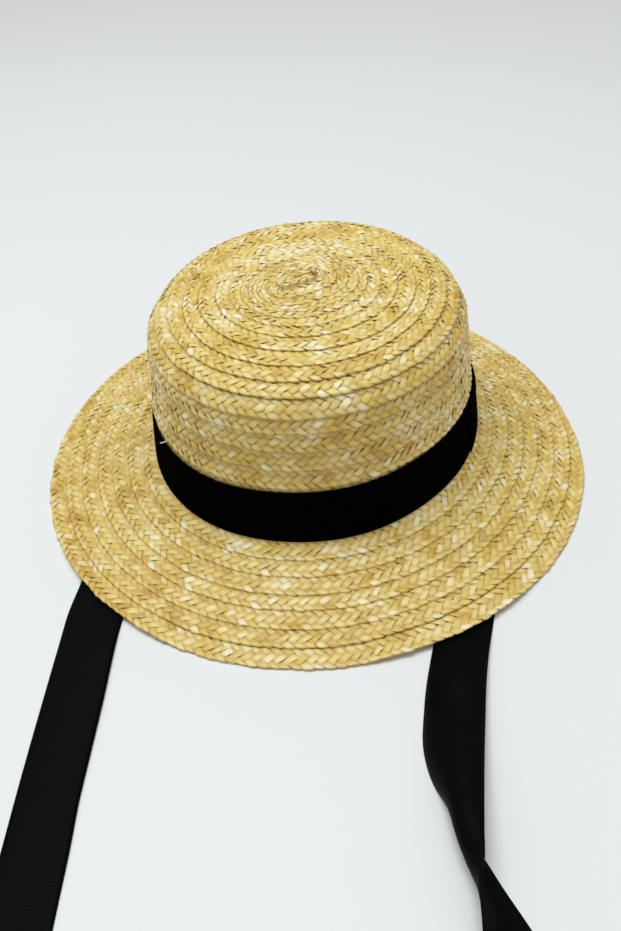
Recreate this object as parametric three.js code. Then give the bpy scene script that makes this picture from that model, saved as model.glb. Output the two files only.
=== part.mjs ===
// A straw boater hat with a black ribbon band and two long ribbon ties, lying on a flat surface.
// Millimetres, +Z up. The ties run out towards -Y. The origin is the middle of the footprint,
// on the surface that the brim's edge and the ties lie on.

import * as THREE from "three";

// Driving sizes. A head of 56 to 57 cm sets the crown, and the rest was scaled from it.
const CROWN = { halfWidth: 88.7, halfLength: 94.9, rimZ: 18.5, shoulderZ: 84, topZ: 104.5, domeZ: 106.5 };
const WALL_LEAN = 6; // how far the wall leans in between rim and shoulder
const TOP_INSET = 27.5; // how far in the flat of the top starts
const SHOULDER_STEPS = 6; // steps round the shoulder's quarter turn
const DOME = { middleRadius: 6, halfWayOut: -58, halfWayShare: 0.7 }; // the top's slight rise to its middle
const FOOT_TILT = 1.8; // the crown's foot stands this much higher at the right and lower at the left
const STRAW = 2.2; // wall of sewn plait
const BRIM_WIDTH = 61.6; // the width that the rows below are drawn for
const RIBBON = { thick: 1 };
const GAP = 0.3; // between pieces that touch
const FULL_TURN = 2 * Math.PI;
const AROUND = 84; // steps round the oval

const STRAW_FINISH = { color: 0xdcc383, roughness: 0.55, metalness: 0 };
const RIBBON_FINISH = { color: 0x07080a, roughness: 0.7, metalness: 0 };

// The brim from the crown outwards: out is the distance from the crown's foot, low the underside's height.
const BRIM_ROWS = [
  { out: -2.4, low: 16 },
  { out: 6, low: 13.7 },
  { out: 18, low: 10.3 },
  { out: 30, low: 7.1 },
  { out: 42, low: 4 },
  { out: 52, low: 1.4 },
  { out: 57, low: 0 },
  { out: BRIM_WIDTH, low: 0 },
];
// The plait is sewn as a spiral, so the brim's width falls by one row of plait towards the end of the last
// row, behind at the right. at is in degrees round the oval, from the right towards the back.
const BRIM_WIDTHS = [
  { at: -210, width: 64.2 },
  { at: -180, width: 63.2 },
  { at: -140, width: 61.4 },
  { at: -90, width: 62 },
  { at: -36, width: 62.8 },
  { at: -6, width: 60.6 },
  { at: 18, width: 56.5 },
  { at: 45, width: 55 },
  { at: 90, width: 57.5 },
  { at: 125, width: 62.5 },
  { at: 150, width: 64.2 },
  { at: 180, width: 63.2 },
];
// Where the brim's edge rides over a tie: at is the middle and half is half the width, in degrees.
const EDGE_LIFTS = [
  { at: -124, half: 11, rise: 2.1 },
  { at: -53, half: 11, rise: 2.1 },
];
const LIFT_FADE = 10; // degrees over which a lift dies out
const LIFT_FROM = 30; // distance from the crown's foot where a lift starts

// The band's cut end lies at the right, over its own beginning.
const BAND = { height: 29.5, endDeg: -12, lapDeg: 17, stepsAround: 84, across: 2 };

// The hidden start of a tie, for the right side: sewn inside the crown's wall, down to the surface, back
// outwards, folded once on the diagonal and laid forwards. outer and inner are the ribbon's two edges.
const TIE_START = [
  { outer: [83.1, -14, 36], inner: [83.1, 14, 36] },
  { outer: [84, -14, 24], inner: [84, 14, 24] },
  { outer: [83.6, -14, 15], inner: [83.6, 14, 15] },
  { outer: [80, -14, 7], inner: [80, 14, 7] },
  { outer: [76.4, -14, 3.4], inner: [76.4, 14, 3.4] },
  { outer: [76, -14, 1.3], inner: [76, 14, 1.3] },
  { outer: [77.8, -14, 0.5], inner: [77.8, 14, 0.5] },
  { outer: [108, -14, 0.5], inner: [80, 14, 0.5] },
  { outer: [109, -13, 1.5], inner: [81, 15, 1.5] },
  { outer: [108, -14, 2.6], inner: [80, 14, 2.6] },
  { outer: [108, -17, 2.6], inner: [80, -15, 2.6] },
];
// The stretch under the brim and in front of it, from the hat outwards. belly is how far the middle of the
// ribbon stands off the line between its edges.
const TIE_LEFT = [
  { outer: [-107.5, -36, 0.5], inner: [-79.5, -34, 0.5], belly: 0 },
  { outer: [-101, -90, 0.5], inner: [-73, -91, 0.5], belly: 0 },
  { outer: [-98.8, -120, 0.5], inner: [-70.6, -124, 0.5], belly: 0 },
  { outer: [-97.8, -138, 0.5], inner: [-69.6, -140, 0.7], belly: 0.2 },
  { outer: [-94.8, -158, 0.5], inner: [-67.6, -155, 1.2], belly: 0.6 },
  { outer: [-90.5, -185.7, 0.5], inner: [-63.1, -181.9, 1.2], belly: 0.5 },
  { outer: [-86.1, -213.4, 0.5], inner: [-59, -209.4, 1], belly: 0.4 },
  { outer: [-82.4, -235.5, 0.5], inner: [-55.8, -231, 0.9], belly: 0.3 },
  { outer: [-78.9, -255.5, 0.5], inner: [-52, -250.7, 0.8], belly: 0.2 },
  { outer: [-75.3, -277.6, 0.5], inner: [-48.2, -273, 0.6], belly: 0.1 },
  { outer: [-72.1, -297, 0.5], inner: [-44.8, -292.5, 0.5], belly: 0 },
];
// The right tie rolls over on its inner edge, which stays down while the outer one rises and crosses it.
const TIE_RIGHT = [
  { outer: [107.5, -36, 0.5], inner: [79.5, -34, 0.5], belly: 0 },
  { outer: [106.6, -70, 0.5], inner: [78.6, -72, 0.5], belly: 0 },
  { outer: [105.8, -106, 0.5], inner: [78.4, -114, 0.5], belly: 0 },
  { outer: [104.8, -120, 0.9], inner: [78.6, -132, 0.5], belly: 0.3 },
  { outer: [103.7, -136, 2.6], inner: [78.1, -143, 0.5], belly: 2 },
  { outer: [103.3, -152, 3.8], inner: [77.6, -155, 0.5], belly: 3.2 },
  { outer: [103.6, -171, 5.2], inner: [77.8, -169, 0.5], belly: 3.6 },
  { outer: [104.1, -192, 8.2], inner: [80.6, -187.5, 0.5], belly: 4.4 },
  { outer: [104.7, -210, 11.2], inner: [85.9, -203, 0.5], belly: 5.2 },
  { outer: [105.4, -226, 14], inner: [95, -216, 0.5], belly: 6.6 },
  { outer: [105.9, -238, 15.4], inner: [106.3, -230.5, 0.5], belly: 6.6 },
  { outer: [104.9, -247, 14], inner: [114, -241, 0.5], belly: 4.6 },
  { outer: [106.4, -258, 10.5], inner: [121.4, -250.5, 0.5], belly: 3 },
  { outer: [108.6, -272, 5], inner: [129, -260.5, 0.5], belly: 1.2 },
  { outer: [113.4, -286, 0.6], inner: [136, -270.5, 0.5], belly: 0.2 },
];
const TIE_GRID = { perRow: 3, across: 4 };

const smoothstep = (x) => {
  const t = Math.min(1, Math.max(0, x));
  return t * t * (3 - 2 * t);
};
const toRadians = THREE.MathUtils.degToRad;

// A point on the oval that lies a distance out from the crown's foot.
function ovalPoint(out, angle, z) {
  return new THREE.Vector3(
    (CROWN.halfWidth + out) * Math.cos(angle),
    (CROWN.halfLength + out) * Math.sin(angle),
    z,
  );
}

function geometryOf(points, triangles) {
  const flat = points.flatMap((p) => [p.x, p.y, p.z]);
  const geometry = new THREE.BufferGeometry();
  geometry.setAttribute("position", new THREE.Float32BufferAttribute(flat, 3));
  geometry.setIndex(triangles.flat());
  geometry.computeVertexNormals();
  return geometry;
}

// A closed section carried round the oval. section(angle) gives points {out, z} whose outline, seen with
// out to the right and z up, runs clockwise. A section may start and end on the axis instead.
function aroundOval(section, endsOnAxis) {
  const points = [];
  const triangles = [];
  const count = section(0).length;
  for (let i = 0; i < AROUND; i++) {
    const angle = (i / AROUND) * FULL_TURN;
    section(angle).forEach(({ out, z }) => points.push(ovalPoint(out, angle, z)));
  }
  const at = (i, j) => (i % AROUND) * count + (j % count);
  const last = endsOnAxis ? count - 1 : count;
  for (let i = 0; i < AROUND; i++) {
    for (let j = 0; j < last; j++) {
      triangles.push([at(i, j), at(i, j + 1), at(i + 1, j)]);
      triangles.push([at(i + 1, j), at(i, j + 1), at(i + 1, j + 1)]);
    }
  }
  if (endsOnAxis) {
    const start = points.push(new THREE.Vector3(0, 0, section(0)[0].z)) - 1;
    const end = points.push(new THREE.Vector3(0, 0, section(0)[count - 1].z)) - 1;
    for (let i = 0; i < AROUND; i++) {
      triangles.push([start, at(i, 0), at(i + 1, 0)]);
      triangles.push([end, at(i + 1, count - 1), at(i, count - 1)]);
    }
  }
  return geometryOf(points, triangles);
}

// A thin sheet of even thickness on a grid of points along its middle surface.
function sheet(grid, thickness) {
  const rows = grid.length;
  const columns = grid[0].length;
  const upper = [];
  const lower = [];
  const clamp = (value, size) => Math.min(size - 1, Math.max(0, value));
  for (let i = 0; i < rows; i++) {
    for (let j = 0; j < columns; j++) {
      const along = new THREE.Vector3().subVectors(grid[clamp(i + 1, rows)][j], grid[clamp(i - 1, rows)][j]);
      const across = new THREE.Vector3().subVectors(
        grid[i][clamp(j + 1, columns)],
        grid[i][clamp(j - 1, columns)],
      );
      const half = along.cross(across).normalize().multiplyScalar(thickness / 2);
      upper.push(new THREE.Vector3().addVectors(grid[i][j], half));
      lower.push(new THREE.Vector3().subVectors(grid[i][j], half));
    }
  }
  const top = (i, j) => i * columns + j;
  const under = (i, j) => rows * columns + i * columns + j;
  const triangles = [];
  const quad = (a, b, c, d) => triangles.push([a, b, c], [a, c, d]);
  for (let i = 0; i + 1 < rows; i++) {
    for (let j = 0; j + 1 < columns; j++) {
      quad(top(i, j), top(i + 1, j), top(i + 1, j + 1), top(i, j + 1));
      quad(under(i, j), under(i, j + 1), under(i + 1, j + 1), under(i + 1, j));
    }
    quad(top(i, 0), under(i, 0), under(i + 1, 0), top(i + 1, 0));
    quad(top(i, columns - 1), top(i + 1, columns - 1), under(i + 1, columns - 1), under(i, columns - 1));
  }
  for (let j = 0; j + 1 < columns; j++) {
    quad(top(0, j), top(0, j + 1), under(0, j + 1), under(0, j));
    quad(top(rows - 1, j), under(rows - 1, j), under(rows - 1, j + 1), top(rows - 1, j + 1));
  }
  return geometryOf([...upper, ...lower], triangles);
}

// The crown's outside from its middle down to the rim, moved in by a depth for the inside.
function crownProfile(depth) {
  const shoulder = [];
  for (let k = 0; k <= SHOULDER_STEPS; k++) {
    const turn = (k / SHOULDER_STEPS) * (Math.PI / 2);
    shoulder.push({
      out: -TOP_INSET + (TOP_INSET - WALL_LEAN) * Math.sin(turn),
      z: CROWN.shoulderZ + (CROWN.topZ - CROWN.shoulderZ) * Math.cos(turn),
    });
  }
  const middle = { out: -CROWN.halfWidth + DOME.middleRadius, z: CROWN.domeZ };
  const rise = {
    out: DOME.halfWayOut,
    z: CROWN.topZ + DOME.halfWayShare * (CROWN.domeZ - CROWN.topZ),
  };
  const halfWay = { out: -WALL_LEAN / 2, z: (CROWN.rimZ + CROWN.shoulderZ) / 2 };
  const rim = { out: 0, z: CROWN.rimZ };
  const outline = [middle, rise, ...shoulder, halfWay, rim];
  return outline.map(({ out, z }) => {
    const upright = smoothstep((CROWN.topZ - z) / (CROWN.topZ - CROWN.shoulderZ));
    return { out: out - depth * upright, z: z === CROWN.rimZ ? z : z - depth * (1 - upright) };
  });
}

function crown() {
  const section = [...crownProfile(0), ...crownProfile(STRAW).reverse()];
  const upTheWall = (z) => (z - CROWN.rimZ) / (CROWN.shoulderZ - CROWN.rimZ);
  return aroundOval(
    (angle) => section.map(({ out, z }) => ({ out, z: z + footRise(angle, upTheWall(z)) })),
    true,
  );
}

// The part of the tilt that is left at a share of the way from the crown's foot.
const footRise = (angle, share) => FOOT_TILT * Math.cos(angle) * (1 - THREE.MathUtils.clamp(share, 0, 1));

const brimWidths = new THREE.CubicInterpolant(
  BRIM_WIDTHS.map(({ at }) => toRadians(at)),
  BRIM_WIDTHS.map(({ width }) => width),
  1,
  [0],
);

function brimWidth(angle) {
  const wrapped = THREE.MathUtils.euclideanModulo(angle + Math.PI, FULL_TURN) - Math.PI;
  return brimWidths.evaluate(wrapped)[0];
}

function edgeLift(angle) {
  return EDGE_LIFTS.reduce((sum, { at, half, rise }) => {
    const turned = THREE.MathUtils.euclideanModulo(angle - toRadians(at) + Math.PI, FULL_TURN);
    const away = Math.abs(turned - Math.PI);
    return sum + rise * (1 - smoothstep((away - toRadians(half)) / toRadians(LIFT_FADE)));
  }, 0);
}

function brim() {
  return aroundOval((angle) => {
    const lift = edgeLift(angle);
    const stretch = brimWidth(angle) / BRIM_WIDTH;
    const under = BRIM_ROWS.map(({ out, low }) => ({
      out: out > 0 ? out * stretch : out,
      z:
        low +
        footRise(angle, out / BRIM_WIDTH) * smoothstep(low) +
        lift * smoothstep((out - LIFT_FROM) / (BRIM_WIDTH - LIFT_FROM)),
    }));
    const above = under.map(({ out, z }) => ({ out, z: z + STRAW }));
    return [...above, ...under.reverse()];
  }, false);
}

// How far the crown's outside leans in at a height on the band.
const leanAt = (z) => (WALL_LEAN * (z - CROWN.rimZ)) / (CROWN.shoulderZ - CROWN.rimZ);

function hatBand() {
  const grid = [];
  const turn = 360 + BAND.lapDeg;
  const onWall = GAP + RIBBON.thick / 2;
  for (let i = 0; i <= BAND.stepsAround; i++) {
    const degrees = (i / BAND.stepsAround) * turn;
    const overLap = 1 - smoothstep((degrees - BAND.lapDeg) / BAND.lapDeg);
    const angle = toRadians(BAND.endDeg + degrees);
    const column = [];
    for (let j = 0; j <= BAND.across; j++) {
      const height = (j / BAND.across) * BAND.height;
      const out = onWall + overLap * (RIBBON.thick + GAP) - leanAt(CROWN.rimZ + height);
      column.push(ovalPoint(out, angle, CROWN.rimZ + GAP + height + footRise(angle, 0)));
    }
    grid.push(column);
  }
  return sheet(grid, RIBBON.thick);
}

// A smooth run of rows through the rows of a table.
function smoothRows(rows) {
  const curve = (edge) =>
    new THREE.CatmullRomCurve3(rows.map((row) => new THREE.Vector3(...row[edge])), false, "centripetal");
  const outer = curve("outer");
  const inner = curve("inner");
  const steps = (rows.length - 1) * TIE_GRID.perRow;
  return Array.from({ length: steps + 1 }, (_, i) => {
    const row = Math.min(rows.length - 2, Math.floor(i / TIE_GRID.perRow));
    const share = i / TIE_GRID.perRow - row;
    const belly = THREE.MathUtils.lerp(rows[row].belly, rows[row + 1].belly, share);
    return { outer: outer.getPoint(i / steps), inner: inner.getPoint(i / steps), belly };
  });
}

// A tie: its hidden start as drawn, then the smooth stretch. side is -1 for the left and 1 for the right.
function tie(side, table) {
  const start = TIE_START.map(({ outer, inner }) => ({
    outer: new THREE.Vector3(side * outer[0], outer[1], outer[2]),
    inner: new THREE.Vector3(side * inner[0], inner[1], inner[2]),
    belly: 0,
  }));
  const rows = [...start, ...smoothRows(table)];
  const grid = rows.map(({ outer, inner, belly }, i) => {
    const next = rows[Math.min(i + 1, rows.length - 1)];
    const previous = rows[Math.max(i - 1, 0)];
    const heading = new THREE.Vector3().subVectors(next.outer, previous.outer);
    heading.add(next.inner).sub(previous.inner);
    const chord = new THREE.Vector3().subVectors(outer, inner);
    const bulge = heading.clone().cross(chord).normalize().multiplyScalar(side * belly);
    return Array.from({ length: TIE_GRID.across + 1 }, (_, j) => {
      const share = j / TIE_GRID.across;
      const point = new THREE.Vector3().lerpVectors(inner, outer, share);
      point.addScaledVector(bulge, 4 * share * (1 - share));
      point.z = Math.max(point.z, RIBBON.thick / 2);
      return point;
    });
  });
  return sheet(grid, RIBBON.thick);
}

function piece(name, geometry, finish) {
  const mesh = new THREE.Mesh(geometry, new THREE.MeshStandardMaterial(finish));
  mesh.name = name;
  return mesh;
}

const hat = new THREE.Group();
hat.add(
  piece("crown", crown(), STRAW_FINISH),
  piece("brim", brim(), STRAW_FINISH),
  piece("hat_band", hatBand(), RIBBON_FINISH),
  piece("tie_left", tie(-1, TIE_LEFT), RIBBON_FINISH),
  piece("tie_right", tie(1, TIE_RIGHT), RIBBON_FINISH),
);

// The origin goes to the middle of the footprint.
const footprint = new THREE.Box3().setFromObject(hat).getCenter(new THREE.Vector3());
hat.position.set(-footprint.x, -footprint.y, 0);

export default new THREE.Group().add(hat);
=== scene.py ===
"""A straw boater hat with a black ribbon band and two ribbon ties, lying on a pale surface.

Metres, +Z up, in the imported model's frame. The hat is one long plait of seven flat straws, sewn round and
round from the middle of the top to the edge of the brim. Each row's inner edge lies under the row before.
"""

import logging
import math
from dataclasses import dataclass, field
from enum import Enum
from typing import NamedTuple, Sequence, Union

import bpy
import numpy as np
from mathutils import Matrix, Vector


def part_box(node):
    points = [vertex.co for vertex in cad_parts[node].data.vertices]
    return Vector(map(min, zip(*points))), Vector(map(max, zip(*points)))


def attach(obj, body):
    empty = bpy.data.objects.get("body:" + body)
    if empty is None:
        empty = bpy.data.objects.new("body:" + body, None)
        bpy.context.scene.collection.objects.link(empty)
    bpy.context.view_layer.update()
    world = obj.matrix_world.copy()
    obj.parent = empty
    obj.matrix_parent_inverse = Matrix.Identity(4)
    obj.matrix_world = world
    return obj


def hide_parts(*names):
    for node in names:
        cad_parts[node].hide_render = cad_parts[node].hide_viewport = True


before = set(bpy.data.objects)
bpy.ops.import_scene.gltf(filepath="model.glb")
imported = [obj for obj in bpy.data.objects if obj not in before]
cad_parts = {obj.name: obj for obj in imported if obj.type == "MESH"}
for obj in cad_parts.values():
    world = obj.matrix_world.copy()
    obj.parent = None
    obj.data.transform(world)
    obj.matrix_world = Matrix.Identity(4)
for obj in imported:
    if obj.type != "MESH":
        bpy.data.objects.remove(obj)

LOG = logging.getLogger("boater")
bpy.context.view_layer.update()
BODY = "root"
MM = 0.001
FULL_TURN = 2 * math.pi
SHORTEST = 1e-12  # keeps a unit vector finite where its vector has no length
KNOT_GAP = 1e-9  # keeps a curve's knots apart where two of its points meet
MIX_LOW, MIX_HIGH, MIX_RESULT = 6, 7, 2  # a Mix node's colour sockets, whose names its other sockets share
STREAK_DEPTHWISE = 1000.0  # tells streaks apart along the third value of a run
STREAK_CONTRAST = 1.7
STREAK_DETAIL = 3.0

Array = np.ndarray
Colour = tuple[float, float, float]


class Slot(Enum):
    """The record's material slots."""

    STRAW = "straw"
    RIBBON = "ribbon"


def smoothstep(x: Array) -> Array:
    """The smooth rise from 0 to 1 as x goes from 0 to 1."""
    t = np.clip(x, 0.0, 1.0)
    return t * t * (3.0 - 2.0 * t)


def unit(vectors: Array) -> Array:
    """The vectors along the last axis, each made 1 long."""
    return vectors / np.maximum(np.linalg.norm(vectors, axis=-1, keepdims=True), SHORTEST)


def run_along(points: Array) -> Array:
    """The distance along a path at each of its points, from 0 at its start."""
    return np.concatenate([[0.0], np.cumsum(np.linalg.norm(np.diff(points, axis=0), axis=1))])


def smooth_path(points: Array, per_span: int) -> Array:
    """A smooth curve through points, with more samples.

    Args:
        points: One row for each point.
        per_span: How many samples lie between two points.

    Returns:
        The curve's samples, the given points among them.
    """
    ends = np.vstack([2 * points[0] - points[1], points, 2 * points[-1] - points[-2]])
    gaps = np.sqrt(np.linalg.norm(np.diff(ends, axis=0), axis=1)) + KNOT_GAP
    knots = np.concatenate([[0.0], np.cumsum(gaps)])
    out = []
    for i in range(1, len(ends) - 2):
        t0, t1, t2, t3 = knots[i - 1 : i + 3]
        p0, p1, p2, p3 = ends[i - 1 : i + 3]
        t = np.linspace(t1, t2, per_span, endpoint=False)[:, None]
        a1 = p0 + (p1 - p0) * (t - t0) / (t1 - t0)
        a2 = p1 + (p2 - p1) * (t - t1) / (t2 - t1)
        a3 = p2 + (p3 - p2) * (t - t2) / (t3 - t2)
        b1 = a1 + (a2 - a1) * (t - t0) / (t2 - t0)
        b2 = a2 + (a3 - a2) * (t - t1) / (t3 - t1)
        out.append(b1 + (b2 - b1) * (t - t1) / (t2 - t1))
    return np.vstack([*out, points[-1:]])


class Rise(NamedTuple):
    """A smooth rise from 0 to 1, from start to start plus over, which may be negative."""

    start: float
    over: float

    def at(self, x: Array) -> Array:
        """How far it has risen at x."""
        return smoothstep((x - self.start) / self.over)


class Field:
    """A value in a node tree, on which plain arithmetic adds nodes."""

    def __init__(self, bench: "Bench", socket: bpy.types.NodeSocket) -> None:
        """Holds the socket that gives the value."""
        self.bench = bench
        self.socket = socket

    def math(self, operation: str, *others: "Number") -> "Field":
        """The result of a Math node on this value and others."""
        node = self.bench.add("ShaderNodeMath", dict(enumerate((self, *others))), operation=operation)
        return Field(self.bench, node.outputs[0])

    def vector(self, operation: str, *others: "Number") -> "Field":
        """The result of a Vector Math node on this vector and others."""
        node = self.bench.add("ShaderNodeVectorMath", dict(enumerate((self, *others))), operation=operation)
        return Field(self.bench, node.outputs[0])

    def scaled(self, factor: "Number") -> "Field":
        """This vector times a number."""
        node = self.bench.add("ShaderNodeVectorMath", {"Vector": self, "Scale": factor}, operation="SCALE")
        return Field(self.bench, node.outputs[0])

    def __add__(self, other: "Number") -> "Field":
        """The sum."""
        return self.math("ADD", other)

    def __sub__(self, other: "Number") -> "Field":
        """The difference."""
        return self.math("SUBTRACT", other)

    def __rsub__(self, other: float) -> "Field":
        """The difference from a plain number."""
        return (self * -1.0) + other

    def __mul__(self, other: "Number") -> "Field":
        """The product."""
        return self.math("MULTIPLY", other)

    def __truediv__(self, other: "Number") -> "Field":
        """The quotient."""
        return self.math("DIVIDE", other)

    __radd__ = __add__
    __rmul__ = __mul__

    def clamped(self) -> "Field":
        """This value held between 0 and 1."""
        return self.math("MAXIMUM", 0.0).math("MINIMUM", 1.0)


Number = Union[Field, float]


class Bench:
    """Adds and wires the nodes of one tree."""

    def __init__(self, tree: bpy.types.NodeTree) -> None:
        """Holds the tree that the nodes go into."""
        self.tree = tree

    def feed(self, socket: bpy.types.NodeSocket, value: object) -> None:
        """Links a field or a socket to an input, or sets a plain value on it.

        Args:
            socket: The input.
            value: The field, the output socket or the plain value.
        """
        source = value.socket if isinstance(value, Field) else value
        if isinstance(source, bpy.types.NodeSocket):
            self.tree.links.new(source, socket)
        else:
            socket.default_value = source

    def add(self, kind: str, feeds: dict | None = None, **settings: object) -> bpy.types.Node:
        """Adds one node.

        Args:
            kind: The node's type.
            feeds: What each input takes, by its name or number.
            settings: The node's own properties.

        Returns:
            The node.
        """
        node = self.tree.nodes.new(kind)
        for name, value in settings.items():
            setattr(node, name, value)
        for name, value in (feeds or {}).items():
            self.feed(node.inputs[name], value)
        return node

    def out(self, kind: str, feeds: dict | None = None, socket: str | int = 0, **settings: object) -> Field:
        """Adds one node and gives one of its outputs."""
        return Field(self, self.add(kind, feeds, **settings).outputs[socket])

    def combined(self, x: Number, y: Number, z: Number) -> Field:
        """A vector of three values."""
        return self.out("ShaderNodeCombineXYZ", {0: x, 1: y, 2: z})

    def blend(self, factor: Number, low: object, high: object) -> bpy.types.NodeSocket:
        """A colour between two, each of them a socket or a fixed colour with its alpha."""
        feeds = {"Factor": factor, MIX_LOW: low, MIX_HIGH: high}
        return self.add("ShaderNodeMix", feeds, data_type="RGBA").outputs[MIX_RESULT]


def bare_material(name: str) -> tuple[bpy.types.Material, Bench, bpy.types.Node]:
    """Starts a material.

    Args:
        name: Its name.

    Returns:
        The material, the bench for its nodes, and its shader.
    """
    material = bpy.data.materials.new(name)
    material.use_nodes = True
    return material, Bench(material.node_tree), material.node_tree.nodes["Principled BSDF"]


def placed(name: str, data: bpy.types.ID) -> bpy.types.Object:
    """Puts a mesh, a lamp or a camera into the scene.

    Args:
        name: The object's name.
        data: What it shows.

    Returns:
        The object, at the origin.
    """
    thing = bpy.data.objects.new(name, data)
    bpy.context.scene.collection.objects.link(thing)
    return thing


@dataclass(frozen=True)
class Straw:
    """Split wheat straw: pale gold, satin, with fine streaks along each splint."""

    name: str = "plaited straw"
    roughness: float = 0.42
    streaks_across: float = 1700.0
    streaks_along: float = 110.0
    streak_depth: float = 0.00006
    tones: tuple[tuple[float, Colour], ...] = (
        (0.00, (0.520, 0.325, 0.060)),
        (0.22, (0.660, 0.455, 0.110)),
        (0.45, (0.755, 0.560, 0.172)),
        (0.66, (0.815, 0.650, 0.250)),
        (0.84, (0.860, 0.735, 0.380)),
        (1.00, (0.890, 0.800, 0.540)),
    )
    tone_by_streak: float = 0.48
    hue_spread: float = 0.010
    saturation: float = 1.02
    paleness: float = 0.20
    reshuffle: float = 7.3
    # painted shade: the warm dark brown mixed in at splint edges, where straws dive under, and just past
    # each row's hem
    shade_colour: Colour = (0.30, 0.155, 0.012)
    splint_width: float = 0.0047
    edge_shade: float = 0.26
    edge_sharpness: float = 5.0
    dip_shade: float = 0.72
    dip_sharpness: float = 1.6
    tuck_shade: float = 0.74
    rough_by_streak: float = 0.22
    rough_by_shade: float = 0.5
    bump_strength: float = 0.6
    gloss: float = 0.65
    glow: float = 0.22
    glow_spread: Colour = (1.0, 0.6, 0.25)
    glow_depth: float = 0.0012

    def build(self, streaks: bpy.types.NodeTree) -> bpy.types.Material:
        """The material, which reads the plait's own tone and fibre, and paints shade at splint edges and
        where dip and tuck say.

        Args:
            streaks: The shared group of fine lengthwise streaks.

        Returns:
            The material.
        """
        material, bench, shader = bare_material(self.name)
        tone = bench.out("ShaderNodeAttribute", attribute_name="tone", socket="Fac")
        fibre = bench.out("ShaderNodeAttribute", attribute_name="fibre", socket="Vector")
        scale = {"Along": self.streaks_along, "Across": self.streaks_across}
        streak = bench.out("ShaderNodeGroup", {"Run": fibre, **scale}, socket="Streak", node_tree=streaks)
        streaked = tone + (streak - 0.5) * self.tone_by_streak
        ramp = bench.add("ShaderNodeValToRGB", {"Fac": streaked.clamped()})
        stops = ramp.color_ramp.elements
        for index, (place, colour) in enumerate(self.tones):
            stop = stops[index] if index < len(stops) else stops.new(place)
            stop.position = place
            stop.color = (*colour, 1.0)
        parts = bench.add("ShaderNodeSeparateXYZ", {0: fibre})
        across, lot_number = Field(bench, parts.outputs[1]), Field(bench, parts.outputs[2])
        # painted shade: darker towards each splint's edges
        to_edge = (across.math("ABSOLUTE") * (2 / self.splint_width)).clamped()
        edge = to_edge.math("POWER", self.edge_sharpness)
        dip = bench.out("ShaderNodeAttribute", attribute_name="dip", socket="Fac")
        dip = dip.math("POWER", self.dip_sharpness)
        tuck = bench.out("ShaderNodeAttribute", attribute_name="tuck", socket="Fac")
        # painted shade: the darkest of edge, dip and tuck, mixed towards shade_colour below
        shade = (edge * self.edge_shade).math("MAXIMUM", dip * self.dip_shade)
        shade = shade.math("MAXIMUM", tuck * self.tuck_shade).clamped()
        lot = bench.out("ShaderNodeTexWhiteNoise", {"W": lot_number}, noise_dimensions="1D")
        second_lot = (lot * self.reshuffle).math("FRACT")
        blush = bench.add("ShaderNodeHueSaturation", {
            "Hue": (lot - 0.5) * self.hue_spread + 0.5,
            "Saturation": second_lot * self.paleness + (self.saturation - self.paleness * 0.5),
            "Color": ramp.outputs["Color"],
        })
        shaded = bench.blend(shade, blush.outputs["Color"], (*self.shade_colour, 1.0))
        bench.feed(shader.inputs["Base Color"], shaded)
        smoothest = self.roughness - self.rough_by_streak / 2
        rough = streak * self.rough_by_streak + shade * self.rough_by_shade + smoothest
        bench.feed(shader.inputs["Roughness"], rough.clamped())
        relief = {"Strength": self.bump_strength, "Distance": self.streak_depth}
        bump = bench.add("ShaderNodeBump", {"Height": streak, **relief})
        bench.feed(shader.inputs["Normal"], bump.outputs["Normal"])
        shader.inputs["Specular IOR Level"].default_value = self.gloss
        shader.inputs["Subsurface Weight"].default_value = self.glow
        shader.inputs["Subsurface Radius"].default_value = self.glow_spread
        shader.inputs["Subsurface Scale"].default_value = self.glow_depth
        return material


@dataclass(frozen=True)
class Grosgrain:
    """Black ribbon with cross ribs of fine thread."""

    name: str = "black grosgrain"
    colour: Colour = (0.0005, 0.0009, 0.0012)
    roughness: float = 0.5
    gloss: float = 0.04
    threads: float = 2400.0
    thread_depth: float = 0.00004
    thread_stretch: float = 0.25
    palest: float = 2.2
    rough_by_thread: float = 0.2
    bump_strength: float = 0.5

    def build(self, streaks: bpy.types.NodeTree) -> bpy.types.Material:
        """The material, which reads the ribbon's own UV map, in metres.

        Args:
            streaks: The shared group of fine lengthwise streaks.

        Returns:
            The material.
        """
        material, bench, shader = bare_material(self.name)
        weave = bench.out("ShaderNodeUVMap", uv_map="weave")
        scale = {"Along": self.threads, "Across": self.threads * self.thread_stretch}
        thread = bench.out("ShaderNodeGroup", {"Run": weave, **scale}, socket="Streak", node_tree=streaks)
        pale = tuple(part * self.palest for part in self.colour)
        bench.feed(shader.inputs["Base Color"], bench.blend(thread, (*self.colour, 1.0), (*pale, 1.0)))
        smoothest = self.roughness - self.rough_by_thread / 2
        bench.feed(shader.inputs["Roughness"], thread * self.rough_by_thread + smoothest)
        relief = {"Strength": self.bump_strength, "Distance": self.thread_depth}
        bump = bench.add("ShaderNodeBump", {"Height": thread, **relief})
        bench.feed(shader.inputs["Normal"], bump.outputs["Normal"])
        shader.inputs["Specular IOR Level"].default_value = self.gloss
        return material


@dataclass(frozen=True)
class MattFinish:
    """A plain matt finish with a slight cloudy grain. As it stands it is white sewing thread."""

    name: str = "white thread"
    colour: Colour = (0.75, 0.74, 0.72)
    roughness: float = 0.7
    grain: float = 3000.0
    variation: float = 0.1

    def build(self) -> bpy.types.Material:
        """The material, with a slight cloudy change of colour.

        Returns:
            The material.
        """
        material, bench, shader = bare_material(self.name)
        place = bench.out("ShaderNodeTexCoord", socket="Object")
        cloud = bench.out("ShaderNodeTexNoise", {"Vector": place, "Scale": self.grain})
        dim = tuple(part * (1 - self.variation) for part in self.colour)
        bench.feed(shader.inputs["Base Color"], bench.blend(cloud, (*dim, 1.0), (*self.colour, 1.0)))
        shader.inputs["Roughness"].default_value = self.roughness
        return material


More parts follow.
